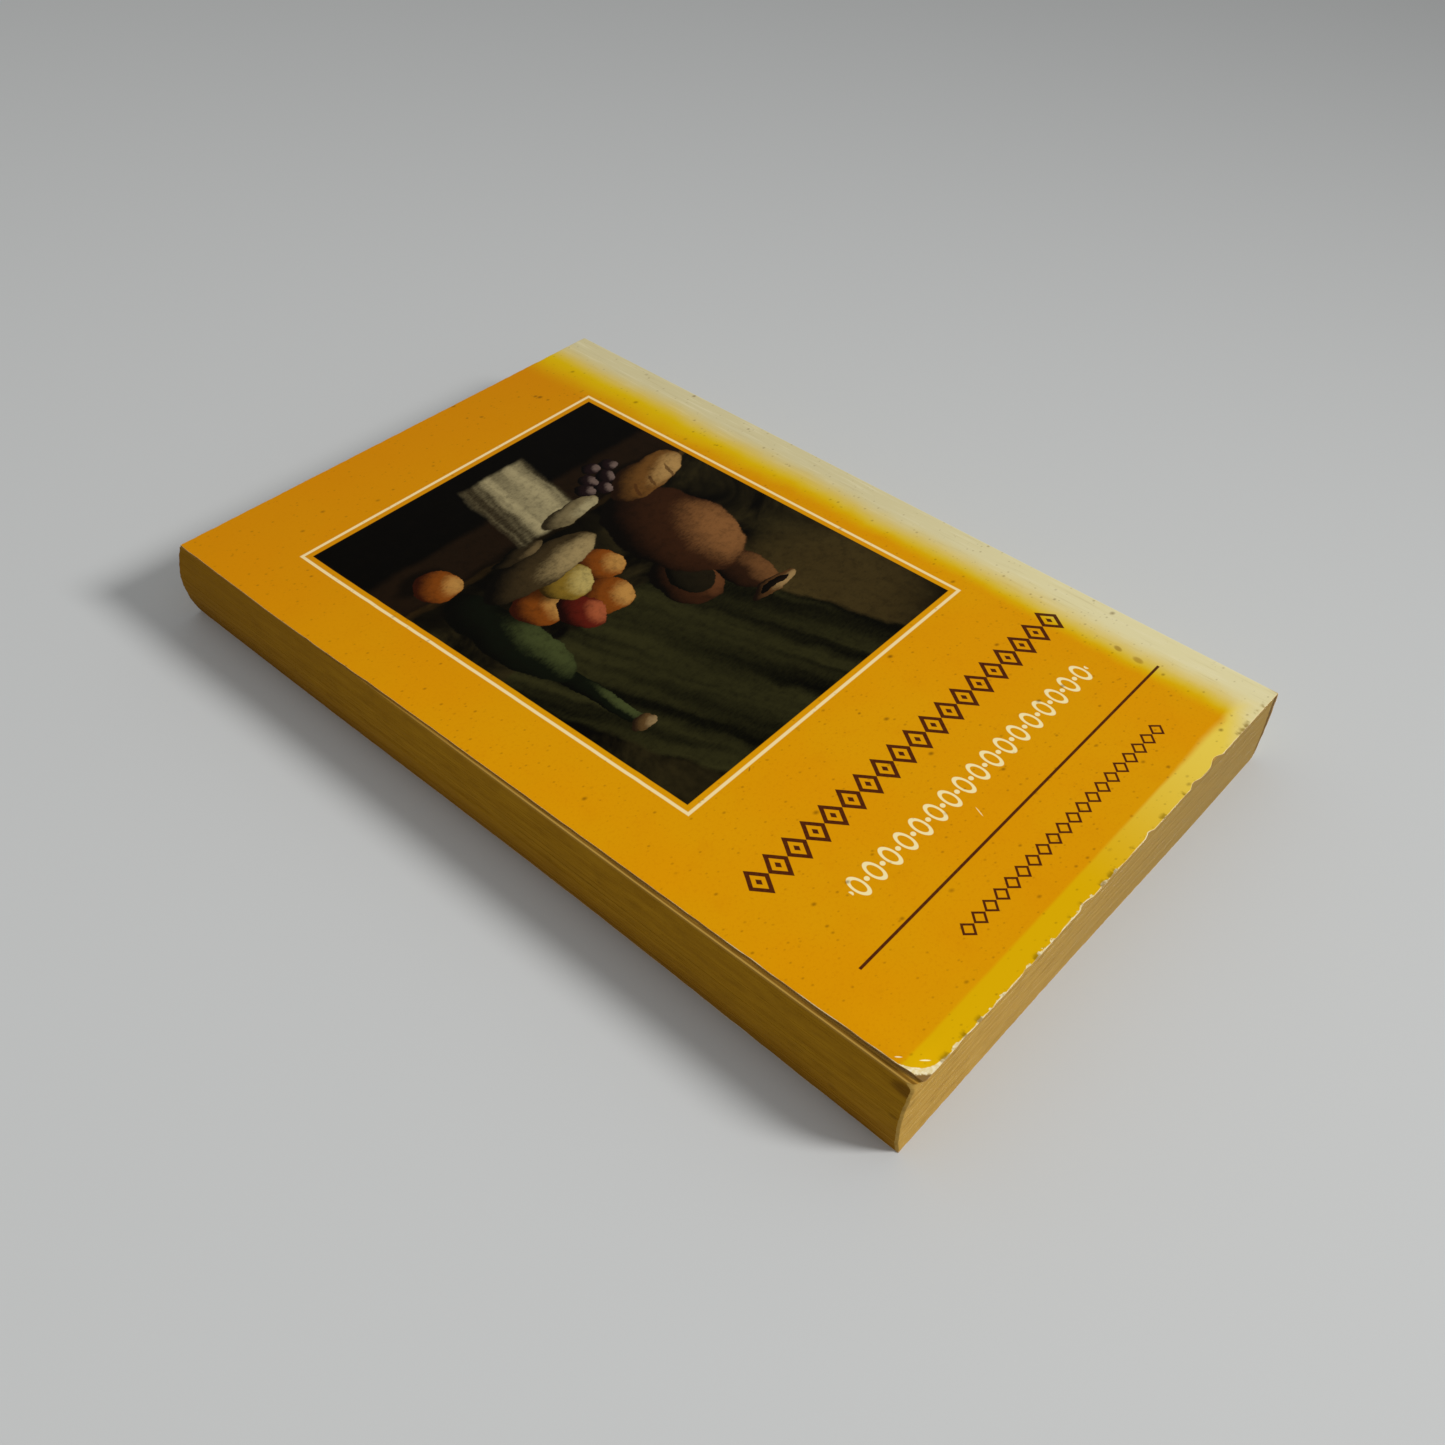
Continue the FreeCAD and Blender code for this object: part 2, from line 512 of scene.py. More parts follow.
def lay_bottle(art):
    """A green bottle with a cork."""
    art.shadow(36, 33, 10, 4)
    art.ball(30, 72, 2.2, 12, *BOTTLE_GREEN)
    art.ball(30, 48, 6.4, 17, *BOTTLE_GREEN)
    cork_tones = ((46, 30, 16), (112, 82, 44), (184, 152, 102))
    art.ball(30, 82.5, 2.8, 1.7, *cork_tones)


def lay_fruit_bowl(art):
    """Oranges, an apple and a lemon in a bowl on a foot."""
    art.shadow(14, 31.5, 17, 3.5)
    for x, y, size in ((2, 45, 5.4), (20, 46, 5.6), (8, 53, 5.6)):
        art.shadow(x + 2.0, y - 2.5, size, size)
        art.ball(x, y, size, size * 0.95, *ORANGE_PEEL)
    art.ball(15, 53, 5.0, 5.4, (34, 6, 4), (112, 32, 18), (206, 108, 64))
    art.shadow(13.5, 42.5, 6, 5)
    art.ball(11, 44, 6.0, 5.6, (62, 42, 8), (158, 124, 40), (228, 200, 116))
    art.ball(11, 37.0, 15.5, 5.4, (10, 7, 4), (74, 58, 32), (196, 168, 112))
    art.ball(11, 31.0, 6.8, 1.9, (8, 6, 3), (54, 42, 23), (128, 106, 68))


def lay_loaf(art):
    """A loaf with three cuts in its crust."""
    art.shadow(-25, 28, 12, 3.5)
    crust_tones = ((40, 21, 8), (134, 88, 38), (216, 168, 98))
    art.ball(-27, 31, 11.5, 5.2, *crust_tones, 8)
    for x in (-32, -27, -22):
        cut = mark(art.paint, art.p, art.q, (x, 33.2), (2.6, 0.45), 65, 0.5)
        art.lay(cut * 0.7, (88, 50, 20))


def lay_table_front(art):
    """A cloth over the table's edge, an orange and a few grapes."""
    linen = (58, 47, 28)
    lit_linen = (206, 188, 138)
    art.folds(-14, 4, 7, 29.5, linen, lit_linen, 4.2, -0.18)
    art.ball(-6, 28.5, 8.0, 2.6, linen, (146, 128, 88), lit_linen)
    art.shadow(31, 23.5, 6, 3)
    art.ball(29, 27, 5.0, 4.6, *ORANGE_PEEL)
    for x, y in ((-21, 25), (-17.5, 27), (-17, 23.2), (-13.6, 25.4), (-24.4, 22.4), (-20.6, 20.6)):
        art.ball(x, y, 2.2, 2.2, *GRAPE_BLUE)


def still_life(paint, p, q):
    """The picture on the cover, of a plain kind: p across and q up from its lower middle."""
    art = StillLife(paint, p, q)
    lay_backdrop(art)
    lay_jug(art)
    lay_bottle(art)
    lay_fruit_bowl(art)
    lay_loaf(art)
    lay_table_front(art)
    varnish = paint.noise(art.place, 0.45, 5.0, 0.7)
    art.lay(paint.rise(varnish, 0.42, 0.78) * 0.45, (13, 9, 4))
    art.lay(paint.rise(art.stroke, 0.0, 0.3) * 0.3, (8, 6, 4))
    art.lay(0.44, (6, 4, 1))
    return art.colour


class CardPrint(Paint):
    """The printed and laminated outside of the card, whose colour is laid on step by step."""

    def __init__(self, name):
        super().__init__(name)
        self.where = self.attribute("unfolded")
        self.rim = self.attribute("rim", "Fac")
        self.a, self.y, _ = self.parts(self.where)
        x = self.a - cover_width / 2
        self.u = x * math.cos(PRINT_TURN) + self.y * math.sin(PRINT_TURN)
        self.v = self.y * math.cos(PRINT_TURN) - x * math.sin(PRINT_TURN)
        self.slow = self.noise(self.where, 0.035, 3.0)
        self.patchy = self.noise(self.where, 0.16, 4.0, 0.6)
        self.fine = self.noise(self.where, 1.6, 4.0, 0.65)
        self.grain = self.fine - 0.5
        self.from_spine = self.most(self.a, -self.a - thickness)
        self.from_head = head_y - self.y
        self.to_corner = cover_width - self.a + self.from_head
        self.unpictured = 1.0
        self.tone = PRINT_ORANGE

    def vary_ground(self):
        """Cloudy differences within the orange, and painted shade toward the tail and the spine.
        """
        self.lay(self.rise(self.slow, 0.35, 0.65), (215, 149, 1))
        self.lay(self.rise(self.patchy, 0.5, 0.8) * 0.3, (207, 133, 0))
        # Painted shade: the orange darkens toward the tail and a little toward the spine, where
        # the lamp's light falls off
        self.lay(self.fall(self.y + self.a * 0.25, -95.0, 45.0) * 0.75, (201, 125, 1))
        self.lay(self.rise(self.fine, 0.5, 0.72) * 0.3, (194, 120, 0))

    def aged_cream(self):
        """What the sun has left of the print beside the spine."""
        rubbed = self.noise(self.join(self.a * 1.1, self.y * 0.07), 1.0, 3.0, 0.6)
        toward_head = self.fall(self.y, -20.0, 60.0)
        aged = self.mix(toward_head, (220, 209, 160), (205, 193, 148))
        aged = self.mix(self.rise(rubbed, 0.5, 0.75) * 0.4, aged, (230, 220, 182))
        return self.mix(self.fall(rubbed, 0.25, 0.45) * 0.35, aged, (184, 166, 120))

    def fade(self):
        """The yellow band at the head, and the cream strip with its yellow border."""
        uneven = (self.slow - 0.5) * 4.0 + (self.patchy - 0.5) * 1.8 + self.grain * 0.5
        spine_fade = self.from_spine + uneven
        yellow_end = self.fall(self.y + uneven * 10, -70.0, 10.0) * 6.0 + YELLOW_END
        self.lay(self.fall(spine_fade, 10.3, yellow_end), FADED_YELLOW)
        loose = self.fall(self.from_spine, 15.0, 40.0)
        band_edge = self.from_head + (self.patchy - 0.5) * (loose * 1.2 + 0.2)
        band_start = loose * -0.6 + (HEAD_BAND - 0.4)
        band_end = loose * 0.8 + (HEAD_BAND + 0.4)
        head_fade = self.fall(band_edge, band_start, band_end)
        pale_share = self.fall(self.from_spine, 15.0, 68.0) * 0.9
        self.lay(head_fade, self.mix(pale_share, BAND_YELLOW, BAND_PALE_YELLOW))
        cream = self.fall(spine_fade, CREAM_END, YELLOW_START)
        spine_corner = self.fall(spine_fade + self.from_head * 2.0, 8.0, 22.0)
        cream = self.most(cream, head_fade * spine_corner * 0.85)
        self.lay(cream, self.aged_cream())

    def print_rows(self):
        """The two chains of lozenges, the row of beads and the rule."""
        u, v = self.u, self.v
        self.lay(bead_row(self, u, v, BEADS_ROW), PRINT_CREAM)
        large = lozenge_row(self, u, v, LARGE_ROW, LARGE_STROKE, True)
        small = lozenge_row(self, u, v, SMALL_ROW, SMALL_STROKE, False)
        half_rule = RULE["width"] / 2
        rule = between(self, v, RULE["v"] - half_rule, RULE["v"] + half_rule, 0.07)
        rule = rule * between(self, u, RULE["left"], RULE["right"])
        ink = self.most(self.most(large, small), rule)
        self.lay(ink * (self.fine * 0.16 + 0.88), PRINT_BROWN)

    def print_picture(self):
        """The still life and the keyline round it."""
        u, v = self.u, self.v
        beside = self.most(KEYLINE["left"] - u, u - KEYLINE["right"])
        above = self.most(KEYLINE["bottom"] - v, v - KEYLINE["top"])
        reach = self.most(beside, above)
        half_line = KEYLINE["width"] / 2
        self.lay(self.fall(abs(reach), half_line - 0.08, half_line + 0.1), KEYLINE_CREAM)
        middle = (KEYLINE["left"] + KEYLINE["right"]) / 2
        picture = still_life(self, u - middle, v - KEYLINE["bottom"])
        self.unpictured = self.rise(reach + PICTURE_GAP, -0.1, 0.1)
        self.tone = self.mix(self.unpictured, picture, self.tone)

    def scatter_specks(self):
        """Small brown specks all over the print, but not on the picture."""
        speck_place = self.join(self.a * 0.75, self.y + self.a * 0.12)
        for scale, share, size, strength in SPECKS:
            distance, colour, _ = self.cells(speck_place, scale)
            chance, grade, _ = self.parts(colour)
            ragged = distance + self.grain * 0.06
            speck = self.fall(ragged, size * 0.1, grade * size + size * 0.6)
            speck = speck * self.fall(chance, share, share + 0.05) * (grade * 0.6 + 0.4) * strength
            self.lay(speck * self.unpictured, SPECK_BROWN)

    def add_marks(self, marks):
        for place, size, turn, colour, strength, soft in marks:
            self.lay(mark(self, self.a, self.y, place, size, turn, soft) * strength, colour)

    def bare_rim(self, at_head):
        """Where the print is scraped off along the card's edge."""
        scraped = at_head * self.rise(self.a, 40.0, 75.0)
        chips = self.rise(self.noise(self.where, 0.42, 3.0, 0.6), 0.55, 0.66)
        thin_line = self.rise(self.noise(self.where, 0.13, 3.0, 0.6), 0.42, 0.56)
        line_width = thin_line * self.rise(self.y, 35.0, 60.0) * 0.08
        bare_width = scraped * (chips * 0.5 + thin_line * 0.1) + line_width
        return self.fall(self.rim + self.grain * 0.2, bare_width - 0.05, bare_width + 0.08)

    def bare_corner(self):
        """Where the print is worn off the corner between the head and the fore-edge."""
        corner_x = self.most(self.a - (cover_width - BARE_CORNER_RADIUS), 0.0)
        corner_y = self.most(BARE_CORNER_RADIUS - self.from_head, 0.0)
        reach = self.math("SQRT", corner_x * corner_x + corner_y * corner_y)
        reach = reach + self.grain * 0.3
        outside = self.rise(reach, BARE_CORNER_RADIUS - 0.12, BARE_CORNER_RADIUS + 0.03)
        return outside * self.fall(self.to_corner, 4.8, 6.2)

    def wear(self):
        """Lays on bare card and grime along the edges, and says where the card is bare."""
        at_head = self.fall(self.from_head, 1.4, 2.2)
        bare = self.most(self.bare_rim(at_head), self.bare_corner())
        fibres = self.rise(self.fine, 0.4, 0.7)
        self.lay(bare, self.mix(fibres, (222, 202, 146), (240, 230, 196)))
        blots = self.noise(self.join(self.a * 0.4, self.y * 0.2), 1.0, 3.0, 0.6)
        near_rim = self.fall(self.rim + self.grain * 0.6, 0.3, 1.3)
        grime = self.rise(blots, 0.54, 0.66) * near_rim * at_head
        self.lay(grime * 0.7, (128, 96, 8))
        stained_tip = self.fall(self.to_corner + self.grain * 1.2, 1.1, 1.8)
        self.lay(stained_tip * 0.9, (116, 78, 14))
        from_fold = self.most(self.from_spine, 0.0) + self.from_head * 0.25 + self.patchy * 0.8
        self.lay(self.fall(from_fold, 0.5, 1.4) * 0.5, (150, 112, 52))
        return bare


def cover_print(name, marks=(), has_rows=False, has_picture=False):
    """The material of the card's outside, plain or with the ornaments or the picture."""
    paint = CardPrint(name)
    paint.vary_ground()
    paint.fade()
    if has_rows:
        paint.print_rows()
    if has_picture:
        paint.print_picture()
    paint.scatter_specks()
    paint.add_marks(marks)
    bare = paint.wear()
    roughness = bare * 0.3 + (paint.patchy * 0.12 + 0.4)
    height = paint.fine * 0.25 - bare * 0.7
    return paint.finish(roughness, height, 0.05, 0.02)


def bare_card(name, colour, spot_colour, blotches):
    """Unprinted card, gone yellow, with a few spots."""
    paint = Paint(name)
    place = paint.attribute("unfolded")
    rim = paint.attribute("rim", "Fac")
    a, y, _ = paint.parts(place)
    cloud = paint.noise(place, 0.05, 4.0, 0.6)
    fibre = paint.noise(place, 2.2, 4.0, 0.7)
    paint.tone = colour
    paint.lay(paint.rise(cloud, 0.3, 0.75) * 0.22, spot_colour)
    dark_run = paint.fall(y, 25.0, 60.0) * paint.rise(a, cover_width - 3.0, cover_width - 1.0)
    paint.lay(dark_run * blotches, (142, 94, 16))
    blotch = paint.noise(place, 0.3, 3.0, 0.6)
    paint.lay(paint.rise(blotch, 0.45, 0.62) * blotches, (132, 92, 32))
    paint.lay(paint.fall(rim + (cloud - 0.5) * 4.0, 0.5, 9.0) * 0.55, spot_colour)
    paint.lay(paint.fall(rim, 0.3, 2.4) * 0.6, (148, 108, 44))
    spot = spots(paint, place, 0.16, 0.02, 0.09, 0.03, 0.35)
    paint.lay(spot * 0.5, (142, 96, 44))
    return paint.finish(fibre * 0.1 + 0.75, fibre, 0.03, 0.25)


def leaf_edges(name, pale, deep, dark, along_name):
    """The trimmed edges of the leaves: fine lines along them, stained in long streaks; the
    fore-edge has painted shade toward its bottom and its tail and a painted highlight along its
    top, and the ends have painted shade toward the spine.
    """
    paint = Paint(name)
    x, y, z = paint.parts(paint.attribute("at_rest"))
    along = x if along_name == "x" else y
    hair = paint.noise(paint.join(along * 0.05, z * 5.5), 1.0, 3.0, 0.7)
    streak = paint.noise(paint.join(along * 0.09, z * 0.9), 1.0, 4.0, 0.65)
    stain = paint.noise(paint.join(along * 0.2, z * 0.5), 1.0, 4.0, 0.65)
    rough = paint.noise(paint.join(along * 0.6, z * 7.0), 1.0, 3.0, 0.6)
    paint.tone = deep
    paint.lay(paint.rise(streak, 0.3, 0.7), pale)
    paint.lay(paint.rise(stain, 0.45, 0.75) * 0.24, dark)
    paint.lay(paint.rise(hair, 0.52, 0.75) * 0.16, dark)
    paint.lay(paint.rise(rough, 0.58, 0.8) * 0.15, dark)
    fleck = spots(paint, paint.join(along * 0.6, z * 1.5), 0.3, 0.05, 0.22, 0.08, 0.3)
    paint.lay(fleck * 0.5, dark)
    if along_name == "y":
        # Painted shade: the fore-edge darker toward its bottom, against the light the lamp from
        # below puts there
        paint.lay(paint.fall(z, 2.0, 11.0) * 0.4, (142, 92, 6))
        # Painted shade: the fore-edge darker toward the tail, where the lamp's light falls off
        paint.lay(paint.fall(y, -95.0, 0.0) * 0.55, (124, 84, 5))
        corner_stain = mark(paint, y, z, (head_y - 1.2, front_leaf_z - 1.3), (2.4, 0.9), 0, 0.9)
        paint.lay(corner_stain * 0.6, (84, 48, 5))
        # Painted highlight: a lighter line along the top of the fore-edge, where the leaves' edge
        # catches the light
        lip = paint.rise(z, front_leaf_z - 0.4, front_leaf_z - 0.1) * paint.rise(y, -50.0, 20.0)
        paint.lay(lip * 0.35, (196, 154, 76))
    else:
        # Painted shade: the head and tail edges darker toward the spine end
        paint.lay(paint.fall(x, -48.0, 55.0) * 0.8, (142, 117, 66))
        soot = paint.rise(paint.noise(paint.join(x * 0.5, z * 0.7), 0.5, 4.0, 0.6), 0.54, 0.7)
        paint.lay(soot * (paint.rise(z, 9.0, 17.0) * 0.35 + 0.05), dark)
    height = hair * 0.6 + rough * 0.5
    return paint.finish(0.85, height, 0.08, 0.1)


def leaf_face():
    """The blank first and last leaf."""
    paint = Paint("leaf_face")
    x, y, _ = paint.parts(paint.attribute("at_rest"))
    place = paint.join(x, y)
    cloud = paint.noise(place, 0.04, 4.0, 0.6)
    fibre = paint.noise(place, 1.8, 5.0, 0.7)
    proud_growth = (PROUD_HEAD_FRONT - PROUD_TAIL_FRONT) / cover_height
    proud = (y - tail_y) * proud_growth + PROUD_TAIL_FRONT
    from_cover = x - fore_x
    side = paint.least(proud - from_cover, paint.least(head_y - y, y - tail_y))
    edge_tone = paint.fall(side + (cloud - 0.5) * 9.0, 0.0, 12.0)
    paint.tone = (232, 218, 184)
    paint.lay(edge_tone * 0.7, (204, 170, 112))
    paint.lay(paint.fall(side + (cloud - 0.5) * 1.2, 0.6, 2.6), (182, 134, 44))
    # Painted shadow of the cover's fore-edge, with soiling: the leaf darker brown beyond the
    # cover's edge
    paint.lay(paint.rise(from_cover, 0.0, 0.3), (124, 86, 13))
    # Painted highlight: a lighter line along the leaf's edge, where it catches the light
    lip = paint.fall(side + (cloud - 0.5) * 0.3, 0.16, 0.36) * paint.rise(y, -60.0, 20.0)
    paint.lay(lip * 0.8, (184, 146, 66))
    paint.lay(paint.rise(fibre, 0.55, 0.75) * 0.12, (190, 160, 110))
    spot = spots(paint, place, 0.12, 0.01, 0.08, 0.02, 0.4)
    paint.lay(spot * 0.5, (150, 104, 52))
    return paint.finish(0.88, fibre, 0.04, 0.2)


def old_glue():
    """The yellowed film of glue in the spine."""
    paint = Paint("old_glue")
    place = Field(paint, paint.node("TexCoord").outputs["Object"])
    cloud = paint.noise(place, 400.0, 3.0)
    paint.tone = paint.mix(cloud, (176, 146, 84), (206, 184, 128))
    return paint.finish(0.5, cloud, 0.05, 0.4)


def graded(low, high, steps, growth=CARD_STEP_GROWTH):
    """Places from low to high, close together at the ends and coarse apart between."""
    coarse, fine_low, fine_high = steps

    def ramp(fine):
        growing = [fine]
        while growing[-1] * growth < coarse:
            growing.append(growing[-1] * growth)
        return np.concatenate([[0.0], np.cumsum(growing)])

    start = low + ramp(fine_low)
    end = high - ramp(fine_high)[::-1]
    count = max(2, math.ceil((end[0] - start[-1]) / coarse))
    return np.concatenate([start, np.linspace(start[-1], end[0], count + 1)[1:-1], end])


def eased(value, low, high):
    """0 below low, 1 above high, and a smooth step between them, for arrays."""
    share = np.clip((value - low) / (high - low), 0.0, 1.0)
    return share * share * (3 - 2 * share)


def ripple(values, seed, longest, amount):
    """A wavy line along values: several waves of seeded phase, the longest so many mm."""
    source = random.Random(seed)
    total = np.zeros(np.shape(values))
    for octave in range(5):
        phase = source.uniform(0, 2 * math.pi)
        length = longest / 1.9**octave
        total += np.sin(np.asarray(values) * (2 * math.pi / length) + phase) / 1.5**octave
    return total * amount / 2.2


def head_wear(a):
    """How far the card is worn back from the head, at a place along the unfolded card."""
    worn = 0.08 + np.abs(ripple(a, 3, 9.0, 0.08))
    for centre, half_width, depth in HEAD_NICKS:
        across = (a - centre) / half_width
        worn = worn + depth * np.clip(1 - across**2, 0, 1) ** 1.3
    return worn


def tail_wear(a):
    return 0.08 + np.abs(ripple(a, 5, 14.0, 0.12))


def fore_wear(y):
    return 0.06 + np.abs(ripple(y, 8, 17.0, 0.12))


def make_mesh(name, points, faces, face_materials, materials, attributes):
    """A mesh object from points in millimetres, with extra numbers or places for its points."""
    mesh = bpy.data.meshes.new(name)
    mesh.from_pydata((points * MM).tolist(), [], faces)
    for material in materials:
        mesh.materials.append(material)
    mesh.polygons.foreach_set("material_index", face_materials)
    mesh.polygons.foreach_set("use_smooth", [True] * len(faces))
    for label, values in attributes.items():
        if values.ndim == 2:
            layer = mesh.attributes.new(label, "FLOAT_VECTOR", "POINT")
            layer.data.foreach_set("vector", values.astype(np.float32).ravel())
        else:
            layer = mesh.attributes.new(label, "FLOAT", "POINT")
            layer.data.foreach_set("value", values.astype(np.float32))
    mesh.validate()
    mesh.set_sharp_from_angle(angle=SHARP_ANGLE)
    piece = bpy.data.objects.new(name, mesh)
    bpy.context.scene.collection.objects.link(piece)
    return piece


# Places of a card's materials in its list
PRINTED, INSIDE, CUT, PICTURE = range(4)

# Places of the leaves' materials in their list
FORE_EDGES, END_EDGES, LEAF_FACE = range(3)


def card_piece(name, outer, inner, unfolded, rim, materials, outer_material):
    """A piece of card between two grids of points, with print, bare side and cut edge."""
    rows, columns = rim.shape
    count = rows * columns
    index = np.arange(count).reshape(rows, columns)
    faces = []
    face_materials = []

    def add(a, b, c, d, material):
        for quad in zip(*(corner.ravel().tolist() for corner in (a, b, c, d))):
            faces.append(quad)
        face_materials.extend(np.broadcast_to(material, a.shape).ravel().tolist())

    def wall(line):
        add(line[:-1], line[:-1] + count, line[1:] + count, line[1:], CUT)

    add(index[:-1, :-1], index[1:, :-1], index[1:, 1:], index[:-1, 1:], outer_material)
    under = index + count
    add(under[:-1, :-1], under[:-1, 1:], under[1:, 1:], under[1:, :-1], INSIDE)
    wall(index[:, 0])
    wall(index[::-1, -1])
    wall(index[0, ::-1])
    wall(index[-1, :])
    points = np.concatenate([outer.reshape(-1, 3), inner.reshape(-1, 3)])
    attributes = {
        "unfolded": np.tile(unfolded.reshape(-1, 3), (2, 1)),
        "rim": np.tile(rim.ravel(), 2),
    }
    return make_mesh(name, points, faces, face_materials, materials, attributes)


def worn_rows(a, y):
    """Rows of points pulled back to the worn head and tail, and the distance to those edges."""
    along_back = -a - thickness
    overhang = HEAD_OVERHANG * (1 - eased(along_back, *BACK_OVERHANG_REACH))
    head_limit = head_y + overhang - head_wear(a)
    tail_limit = tail_y + tail_wear(a)
    pulled = y - eased(y, head_y - WEAR_REACH, head_y) * (head_y - head_limit)
    pulled = pulled + eased(-y, -tail_y - WEAR_REACH, -tail_y) * (tail_limit - tail_y)
    return pulled, np.minimum(head_limit - pulled, pulled - tail_limit)


def front_height(x, y):
    """How far the front board stands off the leaves near its fore-edge and its worn corner."""
    to_corner = (head_y - y) / CORNER_LIFT_REACH
    corner = CORNER_LIFT * np.exp(-(to_corner**2)) * eased(x, fore_x - 9, fore_x) ** 1.5
    edge = eased(x, fore_x - 30, fore_x) * eased(y, -25, 45) * FORE_EDGE_LIFT
    wave = eased(x, fore_x - 18, fore_x) * np.abs(ripple(y, 21, 60.0, 0.1))
    at_head = eased(y, head_y - 3.5, head_y)
    return (corner + edge + wave) * (1 - 0.6 * at_head)


def make_board(name, is_front, fore_line, materials):
    """One board of the cover, from its crease out to its fore-edge."""
    columns = graded(crease_x, fore_x, BOARD_STEPS)
    rows = graded(tail_y, head_y, CARD_ROW_STEPS)
    x, y = np.meshgrid(columns, rows, indexing="ij")
    a = x - spine_x if is_front else -(x - spine_x) - thickness
    y, rim = worn_rows(a, y)
    share = (x - crease_x) / (fore_x - crease_x)
    x = x + share**3 * (fore_line(y) - fore_x - fore_wear(y))
    fore_limit = fore_line(y) - fore_wear(y)
    rim = np.minimum(rim, fore_limit - x)
    if is_front:
        corner_x = np.clip(x - (fore_x - SOFT_CORNER_RADIUS), 0, SOFT_CORNER_RADIUS)
        cut = SOFT_CORNER_RADIUS - np.sqrt(SOFT_CORNER_RADIUS**2 - corner_x**2)
        y = y - cut * eased(y, head_y - 4.0, head_y)
        lift = front_height(x, y)
        outer = np.stack([x, y, thickness + lift], -1)
        inner = outer - np.array([0, 0, card])
    else:
        outer = np.stack([x, y, np.zeros_like(x)], -1)
        inner = outer + np.array([0, 0, card])
    unfolded = np.stack([a, y, np.zeros_like(a)], -1)
    outer_material = PRINTED
    if is_front:
        u = a[:-1, :-1] - cover_width / 2
        v = y[:-1, :-1]
        in_width = (u > KEYLINE["left"] - 5) & (u < KEYLINE["right"] + 5)
        in_height = (v > KEYLINE["bottom"] - 5) & (v < KEYLINE["top"] + 5)
        outer_material = np.where(in_width & in_height, PICTURE, PRINTED)
    else:
        outer, inner, unfolded, rim = (grid[::-1] for grid in (outer, inner, unfolded, rim))
    return card_piece(name, outer, inner, unfolded, rim, materials, outer_material)


def spine_profile():
    """Points and outward directions round the spine, from the back crease to the front one."""

    def corner_centre(radius, z):
        reach = math.sqrt((spine_radius - radius) ** 2 - (z - middle_z) ** 2)
        return spine_centre_x - reach, z

    points = []
    directions = []

    def arc(centre_x, centre_z, radius, start, end, steps):
        for step in range(steps + 1):
            angle = start + (end - start) * step / steps
            out = (math.cos(angle), math.sin(angle))
            points.append((centre_x + out[0] * radius, centre_z + out[1] * radius))
            directions.append(out)

    back_x, back_z = corner_centre(BACK_SPINE_CORNER_RADIUS, BACK_SPINE_CORNER_RADIUS)
    front_x, front_z = corner_centre(
        FRONT_SPINE_CORNER_RADIUS, thickness - FRONT_SPINE_CORNER_RADIUS
    )
    back_turn = math.atan2(back_z - middle_z, back_x - spine_centre_x) % (2 * math.pi)
    front_turn = math.atan2(front_z - middle_z, front_x - spine_centre_x) % (2 * math.pi)
    for x in np.linspace(crease_x, back_x, 6)[:-1]:
        points.append((x, 0.0))
        directions.append((0.0, -1.0))
    arc(back_x, back_z, BACK_SPINE_CORNER_RADIUS, 1.5 * math.pi, back_turn, 8)
    arc(spine_centre_x, middle_z, spine_radius, back_turn, front_turn, 22)
    arc(front_x, front_z, FRONT_SPINE_CORNER_RADIUS, front_turn, 0.5 * math.pi, 7)
    for x in np.linspace(front_x, crease_x, 6)[1:]:
        points.append((x, thickness))
        directions.append((0.0, 1.0))
    keep = [0] + [
        i for i in range(1, len(points)) if math.dist(points[i], points[i - 1]) > 1e-6
    ]
    return np.array(points)[keep], np.array(directions)[keep]


def make_spine(materials):
    """The card round the spine with its two side strips."""
    points, directions = spine_profile()
    steps = np.hypot(*np.diff(points, axis=0).T)
    travelled = np.concatenate([[0.0], np.cumsum(steps)])
    strip = crease_x - spine_x
    a = strip - (travelled[-1] - travelled)
    a = np.where(a < 0, a * (thickness + strip) / (travelled[-1] - strip), a)
    rows = graded(tail_y, head_y, CARD_ROW_STEPS)
    unrolled, y = np.meshgrid(a, rows, indexing="ij")
    y, rim = worn_rows(unrolled, y)
    x = np.broadcast_to(points[:, :1], y.shape)
    z = np.broadcast_to(points[:, 1:], y.shape)
    outer = np.stack([x, y, z], -1)
    inward = np.stack([directions[:, 0], np.zeros(len(a)), directions[:, 1]], -1)
    inner = outer - inward[:, None, :] * card
    unfolded = np.stack([unrolled, y, np.zeros_like(y)], -1)
    return card_piece("spine_card", outer, inner, unfolded, rim, materials, PRINTED)


def random_walk(count, step, pull, source):
    """Numbers that wander near 0."""
    values = [0.0]
    for _ in range(count - 1):
        values.append(values[-1] * (1 - pull) + source.uniform(-step, step))
    return np.array(values)


def fore_edge_x(y, z):
    """The leaves' fore-edge: bulging over the thickness and twisted along the book."""
    up = (z - back_leaf_z) / (front_leaf_z - back_leaf_z)
    along = (y - tail_y) / cover_height
    front = PROUD_TAIL_FRONT + (PROUD_HEAD_FRONT - PROUD_TAIL_FRONT) * along
    back = PROUD_TAIL_BACK + (PROUD_HEAD_BACK - PROUD_TAIL_BACK) * along
    from_middle = (y - LAST_LEAF_HOLLOW["middle"]) / LAST_LEAF_HOLLOW["reach"]
    back = back - LAST_LEAF_HOLLOW["depth"] * np.exp(-(from_middle**2))
    bulge = FORE_EDGE_ROUNDING * (1 - (2 * up - 1) ** 2)
    return fore_x + back + (front - back) * up + bulge


